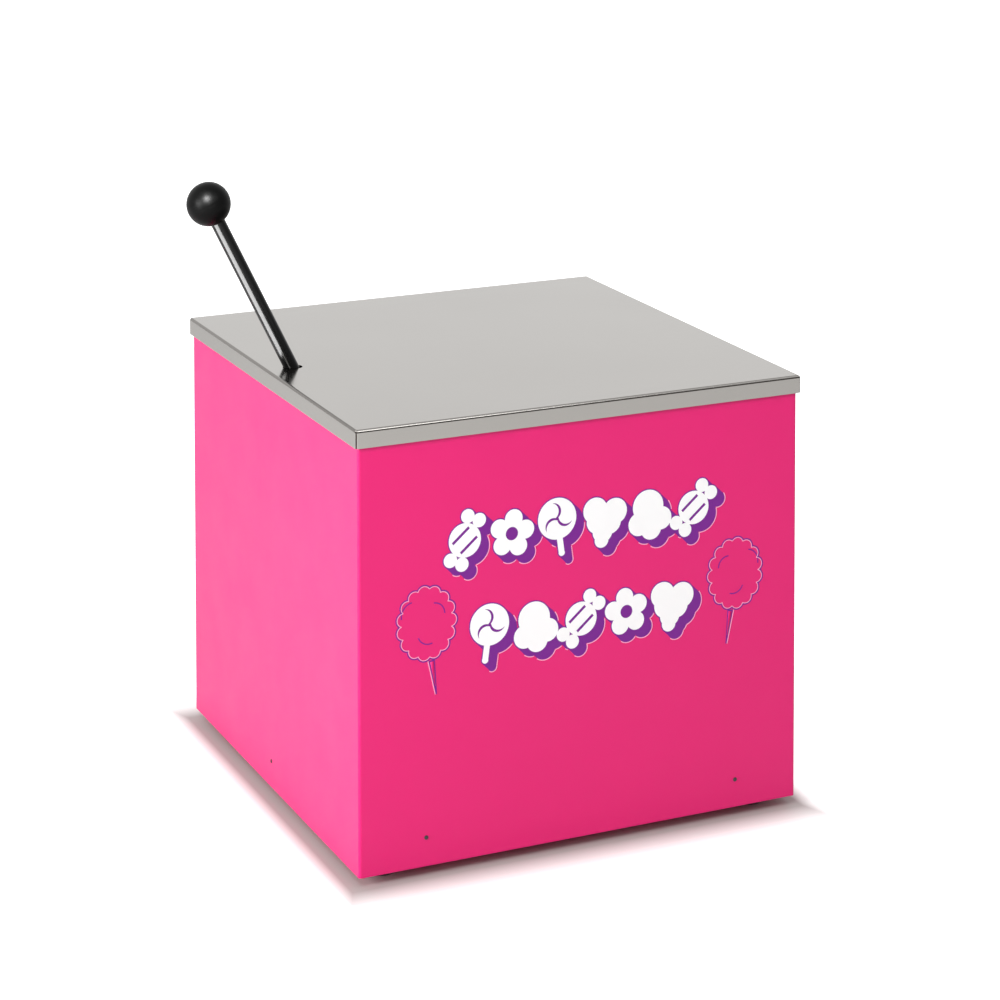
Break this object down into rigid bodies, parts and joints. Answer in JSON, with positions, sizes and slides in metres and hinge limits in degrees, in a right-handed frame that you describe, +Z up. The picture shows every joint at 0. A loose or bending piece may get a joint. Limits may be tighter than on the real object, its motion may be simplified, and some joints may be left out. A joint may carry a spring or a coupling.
{
  "type": "cotton candy machine",
  "caption": "Counter-top cotton candy cabinet with a hinged flat lid, a lid latch lever, and a floss bowl, spinner head and motor inside.",
  "frame": {"origin": "centre of the underside of the base pan, level with the bottom edge of the cabinet", "axes": "+X right seen from the front, +Y towards the back, +Z up"},
  "size_m": [0.6111, 0.5777, 0.686],
  "materials": {
    "painted_steel": "smooth pink powder coat, semi-gloss",
    "stainless": "satin",
    "zinc_steel": "zinc plated",
    "dark_steel": "black oxide",
    "black_rod": "black, semi-gloss",
    "phenolic": "polished phenolic",
    "rubber": "matt",
    "vinyl_purple": "printed film",
    "vinyl_white": "printed film",
    "aluminium": "spun and satin",
    "bearing_steel": "ground",
    "carbon": "carbon block",
    "ribbon": "heat-tinted resistance ribbon",
    "black_plastic": "moulded",
    "red_plastic": "moulded",
    "ivory_plastic": "moulded",
    "amber_lens": "clear amber",
    "clear_lens": "clear"
  },
  "bodies": {
    "cabinet_body": {"cabinet": "painted_steel", "base_pan": "painted_steel", "deck_angles": "zinc_steel", "deck_plate": "zinc_steel", "latch_strikes": "zinc_steel", "lid_bumpers": "rubber", "feet": "rubber", "foot_screws": "zinc_steel", "cabinet_rivets": "dark_steel", "panel_screws": "zinc_steel", "hinge_cabinet_leaves": "zinc_steel", "hinge_pins": "dark_steel", "decal_purple": "vinyl_purple", "decal_white": "vinyl_white", "floss_bowl": "aluminium", "motor_plate": "zinc_steel", "motor_isolators": "rubber", "motor_housing": "dark_steel", "motor_end_cap": "dark_steel", "motor_stator": "dark_steel", "motor_bearings": "bearing_steel", "brush_holder": "phenolic", "brushes": "carbon", "heat_controller": "aluminium", "terminal_block": "ivory_plastic", "wiring": "rubber", "rear_panel": "painted_steel", "power_switch_case": "black_plastic", "heat_switch_case": "black_plastic", "heat_control_body": "black_plastic", "meter_case": "black_plastic", "meter_lens": "clear_lens", "breaker_body": "black_plastic", "pilot_lamp": "amber_lens", "power_cord": "rubber", "power_plug": "rubber", "strain_relief": "black_plastic", "cord_cleats": "black_plastic"},
    "lid_body": {"lid": "stainless", "hinge_lid_leaves": "zinc_steel", "lid_rivets": "dark_steel", "shaft_brackets": "zinc_steel"},
    "lever_body": {"latch_shaft": "zinc_steel", "latch_hooks": "zinc_steel", "lever_rod": "black_rod", "lever_knob": "phenolic", "shaft_clips": "zinc_steel"},
    "spinner_body": {"motor_shaft": "bearing_steel", "motor_rotor": "dark_steel", "cooling_fan": "black_plastic", "slip_ring_hub": "phenolic", "spinner_base": "aluminium", "heater_band": "ribbon", "spinner_cap": "aluminium", "head_posts": "bearing_steel"},
    "power_rocker_body": {"power_rocker": "red_plastic"},
    "heat_rocker_body": {"heat_rocker": "black_plastic"},
    "heat_knob_body": {"heat_knob": "black_plastic"},
    "breaker_button_body": {"breaker_button": "red_plastic"},
    "meter_needle_body": {"meter_needle": "black_plastic"}
  },
  "joints": [
    {"name": "lid_hinge", "type": "hinge", "parent": "cabinet_body", "child": "lid_body", "pos_m": [0.2615, 0, 0.44], "axis": [0, 1, 0], "range_deg": [0, 105]},
    {"name": "lever_swing", "type": "hinge", "parent": "lid_body", "child": "lever_body", "pos_m": [-0.225, 0, 0.456], "axis": [0, 1, 0], "range_deg": [0, 26.5]},
    {"name": "spinner_spin", "type": "hinge", "parent": "cabinet_body", "child": "spinner_body", "pos_m": [0, 0, 0.318], "axis": [0, 0, 1], "continuous": true},
    {"name": "power_switch_rock", "type": "hinge", "parent": "cabinet_body", "child": "power_rocker_body", "pos_m": [-0.112, 0.2615, 0.205], "axis": [1, 0, 0], "range_deg": [0, 20]},
    {"name": "heat_switch_rock", "type": "hinge", "parent": "cabinet_body", "child": "heat_rocker_body", "pos_m": [-0.062, 0.2615, 0.205], "axis": [1, 0, 0], "range_deg": [0, 20]},
    {"name": "heat_knob_turn", "type": "hinge", "parent": "cabinet_body", "child": "heat_knob_body", "pos_m": [0.015, 0.2615, 0.205], "axis": [0, -1, 0], "range_deg": [0, 270]},
    {"name": "breaker_press", "type": "slide", "parent": "cabinet_body", "child": "breaker_button_body", "axis": [0, -1, 0], "range_m": [0, 0.002]},
    {"name": "meter_needle_turn", "type": "hinge", "parent": "cabinet_body", "child": "meter_needle_body", "pos_m": [0.095, 0.2615, 0.189], "axis": [0, -1, 0], "range_deg": [0, 90]}
  ]
}
